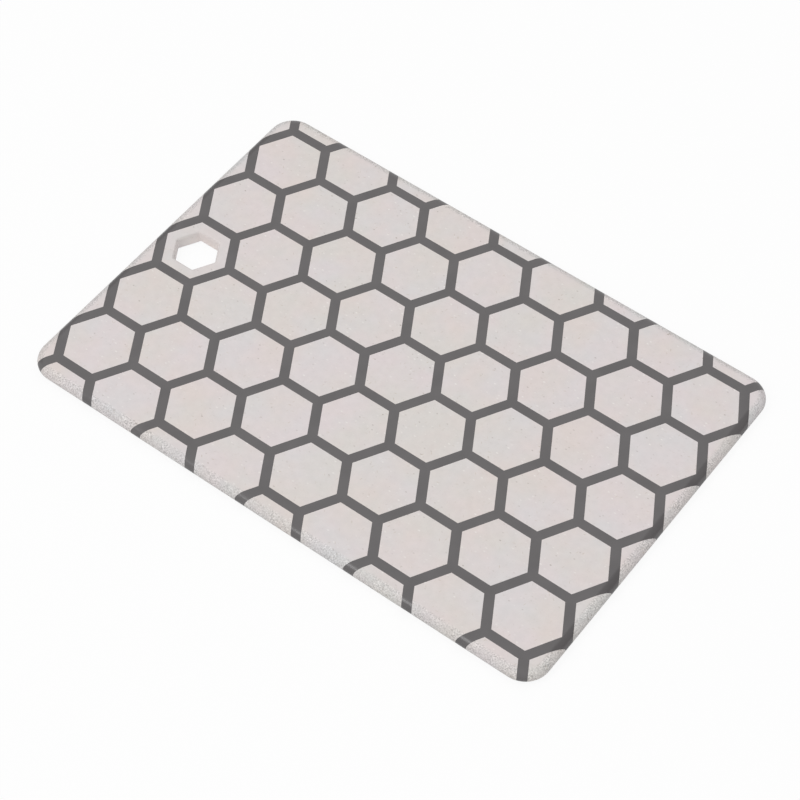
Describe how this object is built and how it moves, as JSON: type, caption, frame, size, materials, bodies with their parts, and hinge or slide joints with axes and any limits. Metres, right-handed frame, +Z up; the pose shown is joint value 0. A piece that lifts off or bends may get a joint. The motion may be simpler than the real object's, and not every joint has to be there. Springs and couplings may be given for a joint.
{
  "type": "plastic cutting board",
  "caption": "Flat oblong plastic cutting board with a full round rim, a hexagonal hanging hole near one short side and a honeycomb net inlaid flush in its top face.",
  "frame": {"origin": "centre of the board's outline, on its underside", "axes": "+X along the board, away from the hanging hole; +Y across it; +Z up, out of the top face"},
  "size_m": [0.3, 0.205, 0.008],
  "materials": {
    "cream_straw_plastic": "satin, speckled with fine straw fibre",
    "grey_plastic": "satin"
  },
  "bodies": {
    "root": {"board_slab": "cream_straw_plastic", "honeycomb_net": "grey_plastic"}
  },
  "joints": []
}
